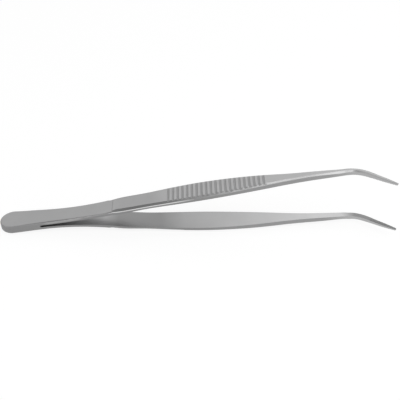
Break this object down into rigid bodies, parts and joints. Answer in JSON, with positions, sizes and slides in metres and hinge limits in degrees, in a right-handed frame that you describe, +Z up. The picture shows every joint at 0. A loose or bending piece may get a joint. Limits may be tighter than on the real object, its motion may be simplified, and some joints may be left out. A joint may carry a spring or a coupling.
{
  "type": "thumb forceps",
  "caption": "Spring forceps of polished steel: two forged arms welded at the butt, grooved thumb grips, and slim jaws bent to one side with toothed tips.",
  "frame": {"origin": "middle of the forceps' box on the surface that they lie on", "axes": "+X from the butt towards the tips, +Y across the arms, away from the side to which the tips are bent, +Z up; the forceps lie on the lower arm, touching at the butt's lower end and under the grip"},
  "size_m": [0.1454, 0.0172, 0.0243],
  "materials": {
    "steel": "satin stainless steel, finely brushed along the arms"
  },
  "bodies": {
    "root": {"upper_arm": "steel", "lower_arm": "steel"}
  },
  "joints": []
}
